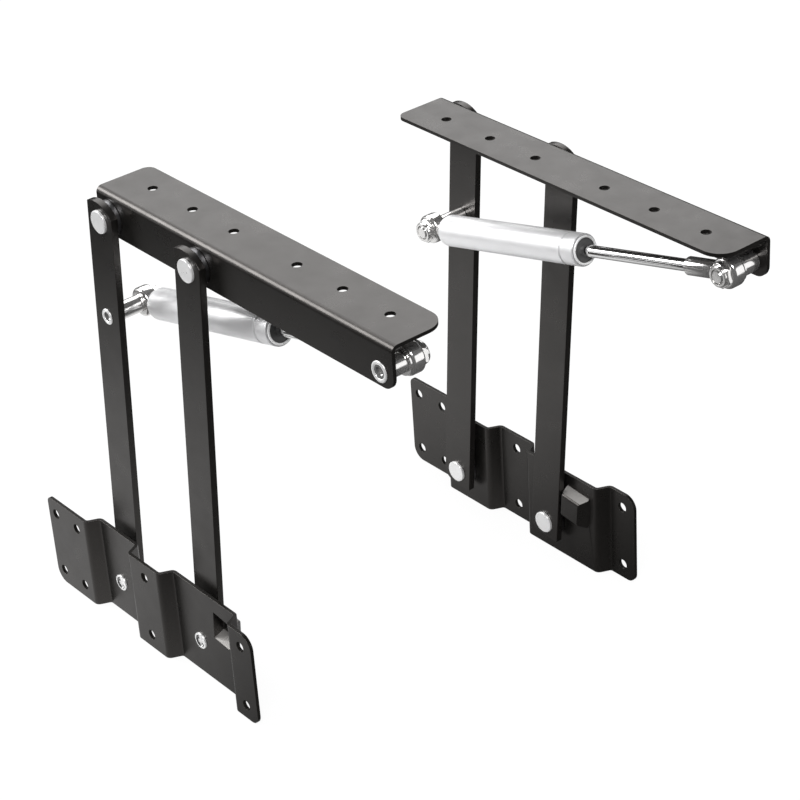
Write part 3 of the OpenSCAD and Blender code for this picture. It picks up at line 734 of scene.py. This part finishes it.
def eye_profile(outer=0.01025, corner=0.0022, bore=0.0051, lip=0.0005):
    """Band of an eye round its pin: a ring with quarter circles at its outer corners and
    chamfers at its bore."""
    return ([(bore, lip - EYE_HALF), (bore + lip, -EYE_HALF)]
            + arc(outer - corner, corner - EYE_HALF, corner, -90, 0, 7)
            + arc(outer - corner, EYE_HALF - corner, corner, 0, 90, 7)
            + [(bore + lip, EYE_HALF), (bore, EYE_HALF - lip), (bore, lip - EYE_HALF)])


def neck_profile(root, end, edge, neck_r=0.006):
    """Neck between an eye and its far end, which widens from the band outwards; waist is (r,
    distance from the root) points."""
    waist = [(0.0045, 0), (0.0046, 0.0022), (0.0052, 0.0036), (neck_r, 0.0048)]
    way = 1 if end > root else -1
    return ([(0, root)] + [(r, root + way * distance) for r, distance in waist]
            + [(neck_r, end - way * edge), (neck_r - edge, end), (0, end)])


def tube_profile():
    """The tube from its closed end over the shoulder, groove and rim, and back inside. The lip
    is (r, distance from the tube's end) points."""
    shoulder, groove, bore, end_hole = 0.0065, TUBE_END - 0.014, TUBE_R - 0.0015, 0.00405
    groove_r, groove_half, even = 0.0009, 0.0010, 0.03
    rim_r, rim_down = 0.0007, 0.0022
    end_wall = 0.003
    lip = [(0.0102, 0.0032), (0.0098, 0.0032), (0.0097, 0.0016), (bore, 0.0016)]
    return (
        [(end_hole, TUBE_START)]
        + arc(TUBE_R - shoulder, TUBE_START + shoulder, shoulder, -90, 0, 12)
        + [(TUBE_R, TUBE_START + even), (TUBE_R, groove - even), (TUBE_R, groove - groove_half)]
        + arc(TUBE_R, groove, groove_r, 250, 110, 6)
        + [(TUBE_R, groove + groove_half), (TUBE_R, TUBE_END - rim_down)]
        + arc(TUBE_R - rim_r, TUBE_END - rim_down, rim_r, 0, 90, 5)
        + [(r, TUBE_END - distance) for r, distance in lip]
        + [(bore, TUBE_START + end_wall), (end_hole, TUBE_START + end_wall),
           (end_hole, TUBE_START)]
    )


# Stage

class LIFT_OT_stage(bpy.types.Operator):
    """Set the floor, the soft lights, the surroundings and the camera"""
    bl_idname = "lift.stage"
    bl_label = "Stage"

    def execute(self, context):
        stage = context.scene.lift_stage
        self.floor(stage)
        self.surroundings(context.scene)
        self.lights(context.scene)
        self.camera(context.scene, stage)
        context.scene.view_settings.view_transform = "Standard"
        return {"FINISHED"}

    def floor(self, stage):
        """A floor that is white for the camera, and keeps shadows. What falls on it is sent back
        less and less towards +X, and in reflections it glows less and less away from a spot
        behind the units."""
        glow_spot = (-0.36, -0.06, 0.0)
        matt = 0.9
        half = stage.floor_size / 2
        grid = np.array([(-half, -half, 0), (half, -half, 0), (half, half, 0), (-half, half, 0)])
        floor = add_mesh("floor", grid, np.array([(0, 1, 2, 3)]))
        mat, tree, shader = new_material("floor_white")
        shader.inputs["Roughness"].default_value = matt
        shader.inputs["Specular IOR Level"].default_value = 0.0
        coord = tree.nodes.new("ShaderNodeTexCoord")
        seen = tree.nodes.new("ShaderNodeLightPath")
        parts = tree.nodes.new("ShaderNodeSeparateXYZ")
        tree.links.new(coord.outputs["Object"], parts.inputs["Vector"])
        fall = link_range(tree, parts.outputs["X"], start=0.0, end=0.55, first=0.85, last=0.04,
                          smooth=True)
        tree.links.new(self.or_camera(tree, seen, fall), shader.inputs["Base Color"])
        away = tree.nodes.new("ShaderNodeVectorMath")
        away.operation = "DISTANCE"
        away.inputs[1].default_value = glow_spot
        tree.links.new(coord.outputs["Object"], away.inputs[0])
        glow = link_range(tree, away.outputs["Value"], start=0.16, end=0.5, first=0.8, last=0.05,
                          smooth=True)
        white = tree.nodes.new("ShaderNodeEmission")
        tree.links.new(self.or_camera(tree, seen, glow), white.inputs["Strength"])
        share = self.weighted(tree, seen, {"Is Camera Ray": 0.92, "Is Glossy Ray": 1.0,
                                           "Is Transmission Ray": 1.0})
        mix = tree.nodes.new("ShaderNodeMixShader")
        tree.links.new(share, mix.inputs["Fac"])
        tree.links.new(shader.outputs["BSDF"], mix.inputs[1])
        tree.links.new(white.outputs["Emission"], mix.inputs[2])
        tree.links.new(mix.outputs["Shader"], tree.nodes["Material Output"].inputs["Surface"])
        floor.data.materials.append(mat)

    def or_camera(self, tree, seen, source):
        """The larger of a value and Is Camera Ray, so that the camera gets 1."""
        node = tree.nodes.new("ShaderNodeMath")
        node.operation = "MAXIMUM"
        tree.links.new(seen.outputs["Is Camera Ray"], node.inputs[0])
        tree.links.new(source, node.inputs[1])
        return node.outputs["Value"]

    def weighted(self, tree, seen, weights, base=0.0):
        """The base plus the sum of each ray kind's factor times its weight."""
        total = None
        for kind, weight in weights.items():
            node = tree.nodes.new("ShaderNodeMath")
            node.operation = "MULTIPLY_ADD"
            node.inputs[1].default_value = weight
            node.inputs[2].default_value = base
            tree.links.new(seen.outputs[kind], node.inputs[0])
            if total:
                tree.links.new(total, node.inputs[2])
            total = node.outputs["Value"]
        return total

    def surroundings(self, scene):
        """A room that is white for the camera, gives half light all round, and is nearly dark in
        reflections."""
        world = bpy.data.worlds.new("white_room")
        scene.world = world
        world.use_nodes = True
        tree = world.node_tree
        back = tree.nodes["Background"]
        seen = tree.nodes.new("ShaderNodeLightPath")
        share = self.weighted(tree, seen, {"Is Camera Ray": 0.95, "Is Glossy Ray": 0.01,
                                           "Is Transmission Ray": 0.01, "Is Diffuse Ray": 0.5},
                              base=0.05)
        tree.links.new(share, back.inputs["Strength"])
        back.inputs["Color"].default_value = (1, 1, 1, 1)

    def lights(self, scene):
        """Square soft lamps, each turned so that it shines from its place at its target."""
        for name, place, target, size, power in LAMPS:
            data = bpy.data.lights.new(name, "AREA")
            data.shape = "SQUARE"
            data.size = size
            data.energy = power
            lamp = bpy.data.objects.new(name, data)
            lamp.location = place
            lamp.rotation_euler = (Vector(place) - Vector(target)).to_track_quat("Z", "Y").to_euler()
            scene.collection.objects.link(lamp)

    def camera(self, scene, stage):
        """Camera from yaw, pitch and roll, at a distance from the reference point of the right
        unit, which it sees at the given column and row of an 800 pixel frame."""
        a, e, r = stage.yaw, stage.pitch, stage.roll
        back = Vector((math.sin(a) * math.cos(e), -math.cos(a) * math.cos(e), math.sin(e)))
        level_right = Vector((math.cos(a), math.sin(a), 0))
        level_up = back.cross(level_right)
        right = math.cos(r) * level_right + math.sin(r) * level_up
        up = -math.sin(r) * level_right + math.cos(r) * level_up
        low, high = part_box("right_base_plate")
        point = Vector((low[0] + POINT_AHEAD, high[1], POINT_UP))
        scale = stage.distance / stage.focal_px
        place = (point + back * stage.distance - right * (stage.point_u - FRAME_PX / 2) * scale
                 + up * (stage.point_v - FRAME_PX / 2) * scale)
        turn = Matrix((right, up, back)).transposed().to_4x4()
        data = bpy.data.cameras.new("camera")
        data.sensor_width = SENSOR_MM
        data.lens = stage.focal_px * SENSOR_MM / FRAME_PX
        camera = bpy.data.objects.new("camera", data)
        camera.matrix_world = Matrix.Translation(place) @ turn
        scene.collection.objects.link(camera)
        scene.camera = camera


# Panel and start

class LIFT_PT_panel(bpy.types.Panel):
    """Sidebar panel that lists the sizes, the finishes and the build steps"""
    bl_idname = "LIFT_PT_panel"
    bl_label = "Lift top mechanism"
    bl_space_type = "VIEW_3D"
    bl_region_type = "UI"
    bl_category = "Lift top"

    def draw(self, context):
        """Lists every size and colour, and under them a button for each step."""
        for group in (context.scene.lift_looks, context.scene.lift_stage):
            for name in type(group).__annotations__:
                self.layout.prop(group, name)
        for step in STEPS:
            self.layout.operator(step.bl_idname)


STEPS = (LIFT_OT_stage, LIFT_OT_finishes, LIFT_OT_sheet_parts, LIFT_OT_rivets, LIFT_OT_pins,
         LIFT_OT_struts)
CLASSES = (LiftStage, LiftLooks, *STEPS, LIFT_PT_panel)


def register():
    """Adds the classes, and the two groups of values to the scene."""
    for cls in CLASSES:
        bpy.utils.register_class(cls)
    bpy.types.Scene.lift_stage = bpy.props.PointerProperty(type=LiftStage)
    bpy.types.Scene.lift_looks = bpy.props.PointerProperty(type=LiftLooks)


def unregister():
    """Takes away what register added, in the opposite order."""
    del bpy.types.Scene.lift_looks
    del bpy.types.Scene.lift_stage
    for cls in reversed(CLASSES):
        bpy.utils.unregister_class(cls)


def main():
    """Runs every build step in order."""
    register()
    for step in STEPS:
        group, name = step.bl_idname.split(".")
        getattr(getattr(bpy.ops, group), name)()


if __name__ == "__main__":
    main()
